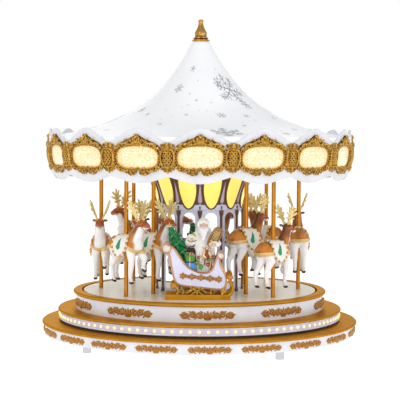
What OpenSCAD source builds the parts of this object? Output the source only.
// Carousel music box: a round lit base, a turning stage with deer on rising poles and a sleigh, a mirrored column,
// a flared lit cove and a sixteen-panel canopy under a tent roof. Z is up, the front faces -Y, sizes are in mm.

/* [Base] */
// Height of the feet
foot_h = 14; // [6:1:25]
// Radius of each foot
foot_r = 5.3; // [3:0.1:12]
// Distance of the feet from the centre
foot_ring_r = 166; // [120:1:185]
// Radius of the lower plinth wall
plinth_r = 197; // [150:1:220]
// Top of the lower plinth wall
plinth_top = 26.7; // [20:0.1:40]
// Radius of the gold flange on the plinth
flange_r = 200; // [150:1:225]
// Top of the gold flange
flange_top = 30; // [24:0.1:44]
// Radius of the light band
band_r = 178; // [140:1:200]
// Bottom of the light band above its dark neck
band_bottom = 32.7; // [28:0.1:48]
// Top of the light band
band_top = 42.3; // [34:0.1:60]
// Number of small lamps around the band
lamp_count = 106; // [40:1:160]
// Radius of the middle flange
mid_flange_r = 180; // [140:1:205]
// Top of the middle flange
mid_flange_top = 45.5; // [36:0.1:64]
// Radius of the upper tier wall
tier_r = 157; // [120:1:180]
// Top of the upper tier wall
tier_top = 64; // [50:0.5:90]
// Outer radius of the lip around the stage
lip_r = 160.7; // [125:0.1:185]
// Top of the lip
lip_top = 68; // [54:0.5:95]
// Wall thickness of the base mouldings
wall = 3.5; // [2:0.1:6]
// Angle of the first gold scroll from the front
scroll_turn = 3.5; // [0:0.1:18]

/* [Stage and mechanism] */
// Radius of the turning stage
stage_r = 147.5; // [110:0.5:170]
// Top of the turning stage
stage_top = 67.5; // [54:0.1:95]
// Thickness of the stage
stage_t = 3; // [2:0.1:6]
// Radius of the fixed spindle
spindle_r = 5; // [3:0.1:10]
// Running gap on the spindle and the poles
run_gap = 0.05; // [0.01:0.01:0.1]
// Gear tooth size
gear_module = 1.5; // [1:0.1:2.5]
// Teeth on the ring gear under the stage
ring_teeth = 60; // [40:4:80]
// Teeth on the motor pinion
pinion_teeth = 16; // [12:4:24]

/* [Riders] */
// Radius of the outer ring of poles
outer_ring_r = 126; // [100:1:140]
// Radius of the inner ring of poles
inner_ring_r = 81; // [70:1:95]
// Radius of a pole
pole_r = 2.6; // [1.5:0.1:4]
// Rise of a deer either way from its middle height
rise = 6; // [2:0.5:10]
// Height of the lowest hoof above the stage at middle height
hoof_h = 18; // [12:1:30]

/* [Column and cove] */
// Distance from the axis to a column face
column_apothem = 51.5; // [40:0.5:65]
// Top of the column
column_top = 170.7; // [140:0.1:200]
// Width of a mirror
mirror_w = 16; // [8:0.5:22]
// Height where the cove meets the ceiling
cove_top = 226; // [190:1:260]

/* [Canopy] */
// Number of rim panels
panel_count = 16; // [8:1:24]
// Distance from the axis to the middle of a rim panel
rim_apothem = 187; // [150:1:200]
// Outward lean of a rim panel
rim_lean = 7.3; // [0:0.1:12]
// Width of a lit window
window_w = 54; // [30:1:60]
// Height of a lit window
window_h = 23.5; // [14:0.5:34]
// Height where the roof meets the rim
roof_base = 263; // [240:1:290]
// Height of the flat top of the roof
roof_top = 382.7; // [340:0.1:420]
// Curve of the tent roof
roof_curve = 2.6; // [0.5:0.1:4]
// Top of the finial
finial_top = 410.4; // [395:0.1:440]

/* [Sleigh] */
// Distance from the axis to the middle of the sleigh
sleigh_y = 96; // [80:1:110]
// Depth of the sleigh body
sleigh_depth = 34; // [24:1:44]

/* [Hidden] */
$fn = 96;
rear_angle = 180 + scroll_turn;
control_z = 21.5;
cover_t = 2.5;
plate_z = foot_h + cover_t;
plate_top = plate_z + 3;
follower_h = 5;
pole_bottom = 40;
cam_crest = pole_bottom - rise - 0.4;
pole_top = 240;
ceiling_t = 2.5;
lean_scale = tan(rim_lean);
rim_mid_z = 238;
rim_bottom_z = 209;
rim_height = 63;
half_panel = 180 / panel_count;
ring_pitch_r = ring_teeth * gear_module / 2;
pinion_pitch_r = pinion_teeth * gear_module / 2;
motor_y = -(ring_pitch_r + pinion_pitch_r);
deer_z = stage_top;
white = [0.95, 0.95, 0.96];
gold = [0.72, 0.5, 0.2];
lilac = [0.8, 0.76, 0.86];
bronze = [0.4, 0.27, 0.18];

// ---- shared shapes ----

function lift_outer(t) = rise * cos(3 * t + 45);

function lift_inner(t) = -lift_outer(t);

function involute(rb, t) = rb * [cos(t) + t * PI / 180 * sin(t), sin(t) - t * PI / 180 * cos(t)];

function turn(p, a) = [p[0] * cos(a) - p[1] * sin(a), p[0] * sin(a) + p[1] * cos(a)];

function flank(rb, ro, a) = [
    for (i = [0 : 3])
        turn(involute(rb, i / 3 * sqrt(pow(ro / rb, 2) - 1) * 180 / PI), a)
];

// Half the tooth angle at the base circle, thinned a little for play.
function half_tooth(teeth) = 90 / teeth + (tan(20) * 180 / PI - 20) - 0.35;

function tooth(rr, rb, ro, half, a) = concat(
    [turn([min(rr, rb), 0], a - half)],
    flank(rb, ro, a - half),
    [for (i = [3 : -1 : 0]) let (p = flank(rb, ro, -half)[i]) turn([p[0], -p[1]], a)],
    [turn([min(rr, rb), 0], a + half)]
);

module ring(r_out, r_in, z0, z1) {
    translate([0, 0, z0])
        difference() {
            cylinder(h = z1 - z0, r = r_out, $fn = 180);
            translate([0, 0, -1])
                cylinder(h = z1 - z0 + 2, r = r_in, $fn = 180);
        }
}

module flange(r_out, r_in, z0, z1) {
    e = (z1 - z0) * 0.3;
    rotate_extrude($fn = 180)
        polygon([
            [r_in, z0], [r_out - e, z0], [r_out, z0 + e], [r_out, z1 - e], [r_out - e, z1], [r_in, z1]
        ]);
}

module gear(teeth, thickness, phase, slack = 0) {
    rp = teeth * gear_module / 2;
    rb = rp * cos(20);
    ro = rp + gear_module;
    rr = rp - 1.25 * gear_module;
    half = half_tooth(teeth);
    rotate([0, 0, phase])
        linear_extrude(thickness)
            offset(delta = -slack)
                union() {
                    polygon([for (k = [0 : teeth - 1]) each tooth(rr, rb, ro, half, k * 360 / teeth)]);
                    circle(r = rr, $fn = teeth * 2);
                }
}

module limb(a, b, ra, rb) {
    d = b - a;
    h = norm(d);
    translate(a)
        rotate([0, acos(d[2] / h), atan2(d[1], d[0])])
            rotate_extrude($fn = 24)
                polygon([[0, 0], [ra, 0], [rb, h], [rb * 0.75, h + rb * 0.6], [0, h + rb * 0.85]]);
}

module turned(a, b, radii) {
    d = b - a;
    n = len(radii);
    translate(a)
        rotate([0, acos(d[2] / norm(d)), atan2(d[1], d[0])])
            rotate_extrude($fn = 32)
                polygon(concat(
                    [[0, 0]],
                    [for (i = [0 : n - 1]) [radii[i], norm(d) * i / (n - 1)]],
                    [[0, norm(d)]]
                ));
}

module at_ring(t, r) {
    rotate([0, 0, t])
        translate([0, -r, 0])
            children();
}

module scroll_outline(w, h) {
    circle(r = h * 0.5, $fn = 24);
    square([w * 0.8, h * 0.3], center = true);
    for (s = [-1, 1]) {
        translate([s * w * 0.17, -h * 0.12])
            circle(r = h * 0.32, $fn = 20);
        translate([s * w * 0.29, h * 0.1])
            circle(r = h * 0.34, $fn = 20);
        translate([s * w * 0.43, 0])
            circle(r = h * 0.42, $fn = 20);
    }
}

module wall_scroll(t, r, z, w, h) {
    at_ring(t, r)
        translate([0, 0, z])
            rotate([90, 0, 0])
                linear_extrude(1.2)
                    scroll_outline(w, h);
}

module at_rear(offset_angle) {
    at_ring(rear_angle + offset_angle, plinth_r)
        translate([0, 0, control_z])
            rotate([90, 0, 0])
                children();
}

// ---- base ----

module feet() {
    color(white)
        for (t = [35, 125, 215, 305])
            at_ring(t, foot_ring_r)
                cylinder(h = foot_h, r = foot_r, $fn = 48);
}

module bottom_cover() {
    color([0.9, 0.9, 0.9])
        difference() {
            translate([0, 0, foot_h])
                cylinder(h = cover_t, r = plinth_r - wall, $fn = 180);
            for (t = [30 : 60 : 330])
                at_ring(t, plinth_r - wall - 5)
                    translate([0, 0, foot_h - 1])
                        cylinder(h = cover_t + 2, r = 1.8, $fn = 24);
            for (i = [-2 : 2], j = [-2 : 2])
                translate([(outer_ring_r + inner_ring_r) / 2 + i * 4, j * 4, foot_h - 1])
                    cylinder(h = cover_t + 2, r = 1.2, $fn = 16);
        }
}

module cover_screws() {
    color([0.6, 0.6, 0.62])
        for (t = [30 : 60 : 330])
            at_ring(t, plinth_r - wall - 5) {
                translate([0, 0, foot_h - 1.6])
                    cylinder(h = 1.6, r = 3.2, $fn = 32);
                translate([0, 0, foot_h - 0.5])
                    cylinder(h = 10, r = 1.45, $fn = 24);
            }
}

module plinth_wall() {
    color(white)
        difference() {
            union() {
                ring(plinth_r, plinth_r - wall, foot_h, plinth_top);
                for (t = [30 : 60 : 330])
                    at_ring(t, plinth_r - wall - 5)
                        translate([-4, -6, plate_z])
                            cube([8, 10, plinth_top - plate_z]);
            }
            for (t = [30 : 60 : 330])
                at_ring(t, plinth_r - wall - 5)
                    translate([0, 0, plate_z - 1])
                        cylinder(h = 9, r = 1.5, $fn = 24);
            at_rear(-4)
                translate([0, 0, -10])
                    cylinder(h = 20, r = 4.5, $fn = 32);
            at_rear(0)
                translate([0, 0, -10])
                    cylinder(h = 20, r = 3.5, $fn = 32);
            at_rear(4)
                translate([0, 0, -10])
                    cylinder(h = 20, r = 2.3, $fn = 32);
        }
}

module plinth_flange() {
    color(gold)
        flange(flange_r, band_r - 8, plinth_top, flange_top);
}

module light_band() {
    color([0.86, 0.83, 0.94])
        union() {
            ring(band_r - 3, band_r - 6, flange_top, band_bottom);
            ring(band_r, band_r - 6, band_bottom, band_top);
        }
}

module band_lamps() {
    color([1, 0.9, 0.3])
        for (i = [0 : lamp_count - 1])
            at_ring(i * 360 / lamp_count, band_r + 0.01)
                translate([0, 0, (band_bottom + band_top) / 2])
                    rotate([90, 0, 0])
                        cylinder(h = 0.9, r = 1.5, $fn = 16);
}

module middle_flange() {
    color(gold)
        flange(mid_flange_r, tier_r - 7, band_top, mid_flange_top);
}

module upper_tier() {
    color(white)
        ring(tier_r, tier_r - wall, mid_flange_top, tier_top);
}

module lip_ring() {
    color(gold)
        flange(lip_r, stage_r + 2.5, tier_top, lip_top);
}

module base_scrolls() {
    color(gold)
        union() {
            for (k = [0 : 19])
                if (k != 10)
                    wall_scroll(k * 18 + scroll_turn, plinth_r, (foot_h + plinth_top) / 2, 44, 9);
            for (k = [0 : 9])
                wall_scroll(k * 36 + scroll_turn, tier_r, (mid_flange_top + tier_top) / 2, 55, 11);
        }
}

module wavy_track(r, lift_sign) {
    n = 72;
    w = 6;
    pts = [
        for (k = [0 : n - 1])
            let (t = k * 360 / n, z = cam_crest - rise + lift_sign * lift_outer(t))
                each [
                    [(r - w) * sin(t), -(r - w) * cos(t), plate_top - 0.5],
                    [(r + w) * sin(t), -(r + w) * cos(t), plate_top - 0.5],
                    [(r + w) * sin(t), -(r + w) * cos(t), z],
                    [(r - w) * sin(t), -(r - w) * cos(t), z]
                ]
    ];
    polyhedron(
        points = pts,
        faces = [
            for (k = [0 : n - 1], i = [0 : 3], side = [0, 1])
                let (a = 4 * k, b = 4 * ((k + 1) % n), j = (i + 1) % 4)
                    side == 0 ? [a + i, a + j, b + j] : [a + i, b + j, b + i]
        ]
    );
}

module cam_plate() {
    color([0.5, 0.52, 0.56])
        union() {
            translate([0, 0, plate_z])
                cylinder(h = plate_top - plate_z, r = outer_ring_r + 10, $fn = 120);
            wavy_track(outer_ring_r, 1);
            wavy_track(inner_ring_r, -1);
            translate([0, 0, plate_top])
                cylinder(h = 20, r = 14, $fn = 64);
            translate([0, 0, plate_top])
                cylinder(h = 131, r = spindle_r, $fn = 64);
        }
}

module gear_motor() {
    color([0.7, 0.7, 0.72])
        translate([0, motor_y, plate_top])
            difference() {
                union() {
                    cylinder(h = 27, r = 11, $fn = 48);
                    translate([-14, -3.5, 0])
                        cube([28, 7, 3]);
                }
                translate([0, 0, 20])
                    cylinder(h = 8, r = 1.5 + run_gap, $fn = 32);
            }
}

module motor_pinion() {
    color([0.85, 0.85, 0.8])
        translate([0, motor_y, 0])
            union() {
                translate([0, 0, 50])
                    gear(pinion_teeth, 8, 180 / pinion_teeth, 0.16);
                translate([0, 0, plate_top + 21])
                    cylinder(h = 18, r = 1.5, $fn = 32);
            }
}

module circuit_boards() {
    color([0.1, 0.4, 0.2])
        union() {
            at_ring(rear_angle, (outer_ring_r + inner_ring_r) / 2) {
                translate([-22, -13, plate_top + 3])
                    cube([44, 26, 1.6]);
                for (x = [-18, 18], y = [-9, 9])
                    translate([x, y, plate_top])
                        cylinder(h = 3, r = 2, $fn = 24);
                translate([-8, -7, plate_top + 4.6])
                    cube([16, 14, 1.5]);
            }
            at_ring(rear_angle, plinth_r - 14)
                translate([-26, 0, plate_z])
                    cube([52, 1.6, 9]);
        }
}

module speaker() {
    color([0.15, 0.15, 0.16])
        translate([(outer_ring_r + inner_ring_r) / 2, 0, plate_top])
            rotate_extrude($fn = 48)
                polygon([[0, 0], [15, 0], [15, 2], [12.5, 3], [9, 7], [9, 12], [0, 12]]);
}

module power_inlet() {
    color([0.12, 0.12, 0.12])
        at_rear(4)
            difference() {
                union() {
                    translate([0, 0, -wall - 8])
                        cylinder(h = 7.9, r = 4.4, $fn = 32);
                    translate([0, 0, -wall - 0.5])
                        cylinder(h = wall + 0.5, r = 2.25, $fn = 32);
                }
                translate([0, 0, -wall - 6])
                    cylinder(h = wall + 8, r = 1.75, $fn = 32);
            }
}

module power_button() {
    color(white)
        at_rear(0)
            union() {
                translate([0, 0, -wall - 2.5])
                    cylinder(h = 2, r = 4.6, $fn = 32);
                translate([0, 0, -wall - 1])
                    cylinder(h = wall + 2.8, r = 3.1, $fn = 32);
            }
}

module volume_knob() {
    color(white)
        at_rear(-4)
            difference() {
                union() {
                    translate([0, 0, -wall - 3])
                        cylinder(h = 2.4, r = 4.9, $fn = 32);
                    translate([0, 0, -wall - 1])
                        cylinder(h = wall + 3.2, r = 4.1, $fn = 32);
                }
                translate([-0.4, 1, 1.4])
                    cube([0.8, 4, 2]);
            }
}

// ---- turning stage ----

module each_pole_hole(r, z, h) {
    for (t = [45 : 45 : 315])
        at_ring(t, outer_ring_r)
            translate([0, 0, z])
                cylinder(h = h, r = r, $fn = 32);
    for (t = [45 : 90 : 315])
        at_ring(t, inner_ring_r)
            translate([0, 0, z])
                cylinder(h = h, r = r, $fn = 32);
}

module stage_disc() {
    color([0.95, 0.93, 0.88])
        difference() {
            union() {
                translate([0, 0, stage_top - stage_t])
                    cylinder(h = stage_t, r = stage_r, $fn = 180);
                each_pole_hole(5, stage_top - 12, 10);
            }
            each_pole_hole(pole_r + run_gap, stage_top - 13, 15);
            translate([0, 0, stage_top - stage_t - 1])
                cylinder(h = stage_t + 2, r = 12, $fn = 64);
        }
}

module stage_gear() {
    color([0.85, 0.83, 0.75])
        difference() {
            union() {
                translate([0, 0, 50])
                    gear(ring_teeth, 8, 0);
                translate([0, 0, 58])
                    cylinder(h = stage_top - stage_t - 58, r = 30, $fn = 64);
                translate([0, 0, 40])
                    cylinder(h = 108, r = 12, $fn = 64);
            }
            translate([0, 0, 39])
                cylinder(h = 111, r = spindle_r + run_gap, $fn = 64);
        }
}

module twelve_sided(apothem, z0, z1) {
    translate([0, 0, z0])
        linear_extrude(z1 - z0)
            circle(r = apothem / cos(15), $fn = 12);
}

module column_panels() {
    color(lilac)
        difference() {
            twelve_sided(column_apothem, stage_top, column_top);
            twelve_sided(column_apothem - 2.5, stage_top - 1, column_top + 1);
        }
}

module mirror_outline(top) {
    union() {
        translate([-mirror_w / 2, 0])
            square([mirror_w, top - mirror_w / 2]);
        translate([0, top - mirror_w / 2])
            circle(r = mirror_w / 2, $fn = 32);
    }
}

module column_mirrors() {
    color([0.8, 0.85, 0.9])
        for (t = [15 : 30 : 345])
            at_ring(t, column_apothem)
                translate([0, 0, stage_top + 4])
                    rotate([90, 0, 0])
                        linear_extrude(0.8)
                            mirror_outline(column_top - stage_top - 7);
}

module column_ribs() {
    color(bronze)
        difference() {
            for (t = [0 : 30 : 330])
                at_ring(t, column_apothem / cos(15) - 0.6)
                    translate([0, 0, stage_top])
                        cylinder(h = column_top - stage_top, r = 2.4, $fn = 24);
            twelve_sided(column_apothem, stage_top - 1, column_top + 1);
        }
}

// ---- cove and canopy ----

function cove_r(z) = column_apothem / cos(15) + 10.7 * pow((z - column_top) / 38, 1.6);

module cove_solid(offset_r, z0, z1) {
    steps = 6;
    rotate_extrude($fn = 96)
        polygon(concat(
            [[0, z0]],
            [for (i = [0 : steps]) let (z = z0 + (z1 - z0) * i / steps) [cove_r(z) + offset_r, z]],
            [[0, z1]]
        ));
}

module cove() {
    color(lilac)
        difference() {
            cove_solid(0, column_top, cove_top);
            intersection() {
                cove_solid(-2.5, column_top, cove_top);
                translate([0, 0, column_top + 2])
                    cylinder(h = 80, r = 90);
            }
            translate([0, 0, column_top - 1])
                cylinder(h = 10, r = 46);
        }
}

module cove_lights() {
    n = 12;
    color([1, 0.92, 0.5])
        intersection() {
            difference() {
                cove_solid(0.8, column_top, cove_top);
                cove_solid(0, column_top, cove_top);
            }
            union() {
                for (t = [15 : 30 : 345])
                    at_ring(t, 40)
                        rotate([90, 0, 0])
                            linear_extrude(50)
                                polygon(concat(
                                    [[12, cove_top - 2]],
                                    [for (i = [0 : n]) [12 * cos(180 * i / n), 205 - 31.5 * sin(180 * i / n)]],
                                    [[-12, cove_top - 2]]
                                ));
            }
        }
}

module ceiling() {
    color(white)
        difference() {
            translate([0, 0, cove_top])
                rotate([0, 0, 90 + half_panel])
                    linear_extrude(ceiling_t)
                        many_sided(rim_apothem - 6.5);
            each_pole_hole(pole_r + run_gap, cove_top - 1, ceiling_t + 2);
        }
}

module many_sided(apothem) {
    r = apothem / cos(half_panel);
    polygon([for (k = [0 : panel_count - 1]) r * [cos(k * 2 * half_panel), sin(k * 2 * half_panel)]]);
}

module leaning_solid(apothem) {
    a0 = apothem - (rim_mid_z - rim_bottom_z) * lean_scale;
    translate([0, 0, rim_bottom_z])
        rotate([0, 0, 90 + half_panel])
            linear_extrude(rim_height, scale = (a0 + rim_height * lean_scale) / a0)
                many_sided(a0);
}

module on_panel(k) {
    rotate([0, 0, k * 2 * half_panel])
        translate([0, -rim_apothem, rim_mid_z])
            rotate([90 + rim_lean, 0, 0])
                children();
}

module window_outline(grow) {
    w = window_w / 2 + grow;
    h = window_h / 2 + grow;
    polygon([
        [-w, -h * 0.45], [-w * 0.7, -h * 0.85], [-w * 0.2, -h], [w * 0.2, -h], [w * 0.7, -h * 0.85],
        [w, -h * 0.45], [w, h * 0.45], [w * 0.7, h * 0.85], [w * 0.2, h], [-w * 0.2, h],
        [-w * 0.7, h * 0.85], [-w, h * 0.45]
    ]);
}

module frieze_outline() {
    n = 12;
    w = rim_apothem * tan(half_panel) + 1.2;
    polygon(concat(
        [for (i = [0 : n]) let (x = -w + 2 * w * i / n) [x, 217 - 8 * pow(cos(90 * x / w), 2)]],
        [for (i = [0 : n]) let (x = w - 2 * w * i / n) [x, 255 + 16 * pow(cos(90 * x / w), 2)]]
    ));
}

module rim_frieze() {
    color(white)
        difference() {
            intersection() {
                difference() {
                    leaning_solid(rim_apothem);
                    translate([0, 0, -0.01])
                        leaning_solid(rim_apothem - 2.2);
                    translate([0, 0, rim_bottom_z - 1])
                        cylinder(h = 4, r = 150);
                    translate([0, 0, rim_bottom_z + rim_height - 4])
                        cylinder(h = 5, r = 150);
                }
                union() {
                    for (k = [0 : panel_count - 1])
                        at_ring(k * 2 * half_panel, 160)
                            rotate([90, 0, 0])
                                linear_extrude(40)
                                    frieze_outline();
                }
            }
            for (k = [0 : panel_count - 1])
                on_panel(k)
                    translate([0, 0, -6])
                        linear_extrude(10)
                            window_outline(-2.5);
        }
}

module rim_windows() {
    color([1, 0.95, 0.85])
        for (k = [0 : panel_count - 1])
            on_panel(k)
                linear_extrude(1.6)
                    window_outline(0);
}

module frame_outline() {
    window_outline(3.6);
    translate([0, 19])
        circle(r = 6.5, $fn = 24);
    translate([-13, 13])
        square([26, 6]);
    for (s = [-1, 1]) {
        translate([s * 12, 14])
            circle(r = 4.5, $fn = 20);
        translate([s * 9, -16])
            circle(r = 4.5, $fn = 20);
        translate([s * 20, -13])
            circle(r = 3.5, $fn = 20);
    }
}

module rim_frames() {
    color(gold)
        difference() {
            union() {
                for (k = [0 : panel_count - 1])
                    on_panel(k)
                        linear_extrude(3)
                            frame_outline();
                for (k = [0 : panel_count - 1])
                    rotate([0, 0, half_panel])
                        rotate([0, 0, k * 2 * half_panel])
                            translate([0, -rim_apothem / cos(half_panel), rim_mid_z])
                                rotate([90 + rim_lean, 0, 0])
                                    translate([-8, -17.5, -3])
                                        cube([16, 33, 6]);
            }
            leaning_solid(rim_apothem);
            for (k = [0 : panel_count - 1])
                on_panel(k)
                    translate([0, 0, -1])
                        linear_extrude(6)
                            window_outline(0);
        }
}

module canopy_lamps() {
    color([1, 0.95, 0.8])
        union() {
            ring(176, 174, cove_top + ceiling_t, cove_top + ceiling_t + 12);
            for (t = [0 : 11.25 : 348.75])
                at_ring(t, 175.9)
                    translate([0, 0, cove_top + ceiling_t + 7])
                        rotate([90, 0, 0])
                            cylinder(h = 2, r = 2, $fn = 16);
        }
}

function roof_z(r) =
    let (u = (r - 12) / 172, low = exp(-roof_curve))
        roof_base + (roof_top - 3 - roof_base) * (exp(-roof_curve * u) - low) / (1 - low);

module canopy_roof() {
    n = 14;
    radii = [for (i = [0 : n]) 12 + 172 * pow(i / n, 1.5)];
    color(white)
        union() {
            rotate_extrude($fn = 120)
                polygon(concat(
                    [[0, roof_top], [11, roof_top]],
                    [for (r = radii) [r, roof_z(r)]],
                    [[184, roof_base - 2]],
                    [for (i = [n - 1 : -1 : 1]) [radii[i] - 1.2, roof_z(radii[i]) - 2]],
                    [[0, roof_z(radii[0]) - 6]]
                ));
            translate([0, 0, roof_base - 2])
                difference() {
                    rotate([0, 0, 90 + half_panel])
                        linear_extrude(1.8)
                            many_sided(rim_apothem + 0.5);
                    translate([0, 0, -1])
                        cylinder(h = 4, r = 172);
                }
            translate([0, 0, roof_base - 12])
                rotate([0, 0, 90 + half_panel])
                    linear_extrude(10.4)
                        difference() {
                            many_sided(rim_apothem - 1.2);
                            many_sided(rim_apothem - 3);
                        }
        }
}

module finial() {
    z = roof_top;
    h = finial_top - roof_top;
    color(gold)
        rotate_extrude($fn = 64)
            polygon([
                [0, z], [11.4, z], [11.4, z + 1.6], [9.6, z + 2.4], [9.4, z + 4.6], [7.6, z + 5],
                [7.5, z + 0.35 * h], [6.9, z + 0.46 * h], [5, z + 0.6 * h], [3.6, z + 0.68 * h],
                [3.1, z + 0.8 * h], [3.3, z + 0.88 * h], [2.4, z + 0.96 * h], [1.2, z + h], [0, z + h]
            ]);
}

// ---- sleigh and its load ----

module in_sleigh() {
    translate([0, -sleigh_y, stage_top])
        children();
}

module sleigh_outline() {
    polygon([
        [-40, 64], [-36, 62], [-33, 53], [-30, 42], [-27, 22], [-20, 16.5], [0, 14.5], [26, 13], [31, 20],
        [30, 34], [25, 47], [23, 56], [20, 52], [15, 40], [8, 33.5], [-5, 35], [-14, 40], [-24, 51.5],
        [-33, 63], [-37, 66]
    ]);
}

module sleigh_body() {
    color(lilac)
        in_sleigh()
            difference() {
                union() {
                    translate([0, sleigh_depth / 2, 0])
                        rotate([90, 0, 0])
                            linear_extrude(sleigh_depth)
                                sleigh_outline();
                    for (p = [[-39, 62.5, 4.5], [23, 55.5, 4]])
                        translate([p[0], sleigh_depth / 2, p[1]])
                            rotate([90, 0, 0])
                                cylinder(h = sleigh_depth, r = p[2], $fn = 32);
                }
                translate([-22, -sleigh_depth / 2 + 2, 20])
                    cube([46, sleigh_depth - 4, 60]);
            }
}

module runner() {
    translate([-42, 0, 0])
        cube([76, 2.4, 3.6]);
    translate([33, 0, 0])
        rotate([0, -68, 0])
            cube([14, 2.4, 3.4]);
    translate([38.2, 0, 11])
        rotate([0, -88, 0])
            cube([14, 2.4, 3]);
    for (p = [[36.6, 26, 3.6], [-31.5, 18, 4], [28.5, 10, 4]])
        translate([p[0], 2.4, p[1]])
            rotate([90, 0, 0])
                cylinder(h = 2.4, r = p[2], $fn = 24);
    for (x = [-31.5, -12, 8, 26])
        translate([x - 1.3, 0, 3])
            cube([2.6, 2.4, 13]);
}

module sleigh_trim() {
    color(gold)
        in_sleigh()
            union() {
                for (s = [-1, 1])
                    translate([0, s * (sleigh_depth / 2 + 1.25) - 1.2, 0])
                        runner();
                translate([-36, -sleigh_depth / 2 - 0.1, 0.4])
                    cube([5, sleigh_depth + 0.2, 2.4]);
                translate([24, -sleigh_depth / 2 - 0.1, 0.4])
                    cube([5, sleigh_depth + 0.2, 2.4]);
                for (s = [-1, 1])
                    translate([2, s > 0 ? sleigh_depth / 2 + 1.1 : -sleigh_depth / 2 - 0.05, 26])
                        rotate([90, 0, 0])
                            linear_extrude(1)
                                scroll_outline(44, 6.5);
            }
}

module robed_figure() {
    color([0.96, 0.95, 0.93])
        in_sleigh()
            union() {
                translate([5, 0, 0])
                    turned([0, 0, 20.2], [0, 0, 84], [12, 12.6, 12.4, 12, 11, 9, 5.5]);
                translate([5, -1, 89])
                    sphere(r = 7.6, $fn = 32);
                turned([5, -5, 88], [4, -9, 62], [4.5, 6, 5.5, 3.6, 1.2]);
                turned([5, 1, 90], [5, 2, 102], [8, 7.4, 5.2, 1.5]);
                limb([-3, -4, 77], [-9, -10, 66], 4.4, 3);
                limb([13, -4, 77], [19, -10, 68], 4.4, 3);
            }
}

module sleigh_load() {
    color([0.1, 0.45, 0.2])
        in_sleigh()
            difference() {
                union() {
                    for (i = [0 : 3])
                        translate([-27 + i * 1.6, 2, 74 - i * 10])
                            cylinder(h = 14, r1 = 6 + i * 2.2, r2 = 1, $fn = 24);
                    translate([-21, -1, 20.2])
                        cube([12, 12, 24]);
                    translate([-20, -12, 20.2])
                        cube([11.6, 10, 26]);
                    translate([-15.4, 5, 50])
                        sphere(r = 6.6, $fn = 32);
                    translate([-15.4, 5, 42])
                        cylinder(h = 6, r = 4, $fn = 24);
                    translate([21, -2, 20.2])
                        cylinder(h = 32, r = 2.7, $fn = 24);
                    translate([21, -9.4, 20.2])
                        cylinder(h = 24, r = 2.7, $fn = 24);
                    limb([20.8, -1, 50], [22, 1, 71], 2.7, 2.2);
                }
                // the tree rests on the raised end of the sleigh
                translate([0, sleigh_depth / 2 + 1, 0])
                    rotate([90, 0, 0])
                        linear_extrude(sleigh_depth + 2)
                            polygon([
                                [-60, 0], [-21.7, 0], [-21.7, 49.3], [-24, 51.9], [-33, 63.4], [-60, 63.4]
                            ]);
            }
}

// ---- riders ----

module rider_pole(t, r, lift) {
    color([0.75, 0.48, 0.18])
        at_ring(t, r)
            translate([0, 0, lift]) {
                translate([0, 0, pole_bottom + 1])
                    cylinder(h = pole_top - pole_bottom - 1, r = pole_r, $fn = 32);
                translate([0, 0, pole_bottom])
                    cylinder(h = follower_h, r = 3.4, $fn = 32);
            }
}

module antler() {
    rotate([90, 0, 0])
        linear_extrude(1.8)
            polygon([
                [0, 0], [1.6, 0], [0, 8], [4, 7], [9, 10], [4, 11], [2, 13], [8, 16], [2.5, 17], [1, 20], [4, 25],
                [-1, 22], [-5, 27], [-6, 20], [-11, 21], [-8, 15], [-12, 12], [-6, 10], [-3, 8]
            ]);
}

module bone(a, b, ra, rb, f = 8) {
    hull() {
        translate(a)
            sphere(r = ra, $fn = f);
        translate(b)
            sphere(r = rb, $fn = f);
    }
}

module deer_shape() {
    z = hoof_h;
    difference() {
        union() {
            hull() {
                translate([-16, 0, z + 46])
                    sphere(r = 9.4, $fn = 12);
                translate([0, 0, z + 46])
                    sphere(r = 9.2, $fn = 12);
                translate([15.5, 0, z + 47])
                    sphere(r = 10.4, $fn = 12);
            }
            bone([17, 0, z + 51], [24.5, 0, z + 69], 7.6, 4.8, 10);
            bone([24.5, 0, z + 71], [35, 0, z + 69.5], 5.4, 2.9, 10);
            for (s = [-1, 1]) {
                bone([23, s * 3, z + 73], [21, s * 8.5, z + 76], 2, 0.8, 6);
                translate([23, s * 3.4 + 0.9, z + 73])
                    rotate([-s * 32, 0, 0])
                        antler();
            }
            bone([-22, 0, z + 50], [-27.5, 0, z + 49], 2.6, 1.6, 6);
            bone([16, 5.5, z + 44], [26, 6, z + 32], 4.8, 2.7);
            bone([26, 6, z + 32], [22, 6, z + 18], 2.7, 2.2, 6);
            bone([14, -5.5, z + 44], [16, -6, z + 22], 4.8, 2.6);
            bone([16, -6, z + 22], [13, -6, z + 2.2], 2.6, 2.3, 6);
            bone([-15, 5.5, z + 44], [-20, 6, z + 24], 5.6, 2.8);
            bone([-20, 6, z + 24], [-26, 6, z + 8], 2.7, 2.2, 6);
            bone([-14, -5.5, z + 44], [-12, -6, z + 24], 5.6, 2.8);
            bone([-12, -6, z + 24], [-18, -6, z + 5], 2.7, 2.2, 6);
            intersection() {
                translate([-9, 0, z + 46.5])
                    rotate([0, 90, 0])
                        cylinder(h = 17, r = 11.2, $fn = 24);
                translate([-12, -20, z + 42])
                    cube([24, 40, 30]);
            }
        }
        cylinder(h = 140, r = pole_r + 0.03, $fn = 24);
    }
}

module rider_deer(t, r, lift) {
    color([0.6, 0.35, 0.18])
        at_ring(t, r)
            translate([0, 0, deer_z + lift])
                deer_shape();
}

module pole_outer_1() {
    rider_pole(45, outer_ring_r, lift_outer(45));
}

module pole_outer_2() {
    rider_pole(90, outer_ring_r, lift_outer(90));
}

module pole_outer_3() {
    rider_pole(135, outer_ring_r, lift_outer(135));
}

module pole_outer_4() {
    rider_pole(180, outer_ring_r, lift_outer(180));
}

module pole_outer_5() {
    rider_pole(225, outer_ring_r, lift_outer(225));
}

module pole_outer_6() {
    rider_pole(270, outer_ring_r, lift_outer(270));
}

module pole_outer_7() {
    rider_pole(315, outer_ring_r, lift_outer(315));
}

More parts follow.
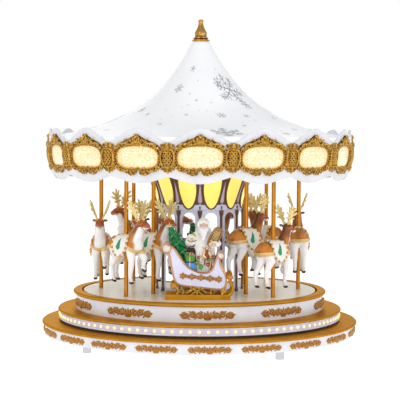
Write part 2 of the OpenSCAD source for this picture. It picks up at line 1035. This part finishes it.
module pole_inner_1() {
    rider_pole(45, inner_ring_r, lift_inner(45));
}

module pole_inner_2() {
    rider_pole(135, inner_ring_r, lift_inner(135));
}

module pole_inner_3() {
    rider_pole(225, inner_ring_r, lift_inner(225));
}

module pole_inner_4() {
    rider_pole(315, inner_ring_r, lift_inner(315));
}

module deer_outer_1() {
    rider_deer(45, outer_ring_r, lift_outer(45));
}

module deer_outer_2() {
    rider_deer(90, outer_ring_r, lift_outer(90));
}

module deer_outer_3() {
    rider_deer(135, outer_ring_r, lift_outer(135));
}

module deer_outer_4() {
    rider_deer(180, outer_ring_r, lift_outer(180));
}

module deer_outer_5() {
    rider_deer(225, outer_ring_r, lift_outer(225));
}

module deer_outer_6() {
    rider_deer(270, outer_ring_r, lift_outer(270));
}

module deer_outer_7() {
    rider_deer(315, outer_ring_r, lift_outer(315));
}

module deer_inner_1() {
    rider_deer(45, inner_ring_r, lift_inner(45));
}

module deer_inner_2() {
    rider_deer(135, inner_ring_r, lift_inner(135));
}

module deer_inner_3() {
    rider_deer(225, inner_ring_r, lift_inner(225));
}

module deer_inner_4() {
    rider_deer(315, inner_ring_r, lift_inner(315));
}

feet();
bottom_cover();
cover_screws();
plinth_wall();
plinth_flange();
light_band();
band_lamps();
middle_flange();
upper_tier();
lip_ring();
base_scrolls();
cam_plate();
gear_motor();
circuit_boards();
speaker();
power_inlet();
motor_pinion();
power_button();
volume_knob();
stage_disc();
stage_gear();
column_panels();
column_mirrors();
column_ribs();
cove();
cove_lights();
ceiling();
rim_frieze();
rim_windows();
rim_frames();
canopy_lamps();
canopy_roof();
finial();
sleigh_body();
sleigh_trim();
robed_figure();
sleigh_load();
pole_outer_1();
pole_outer_2();
pole_outer_3();
pole_outer_4();
pole_outer_5();
pole_outer_6();
pole_outer_7();
pole_inner_1();
pole_inner_2();
pole_inner_3();
pole_inner_4();
deer_outer_1();
deer_outer_2();
deer_outer_3();
deer_outer_4();
deer_outer_5();
deer_outer_6();
deer_outer_7();
deer_inner_1();
deer_inner_2();
deer_inner_3();
deer_inner_4();
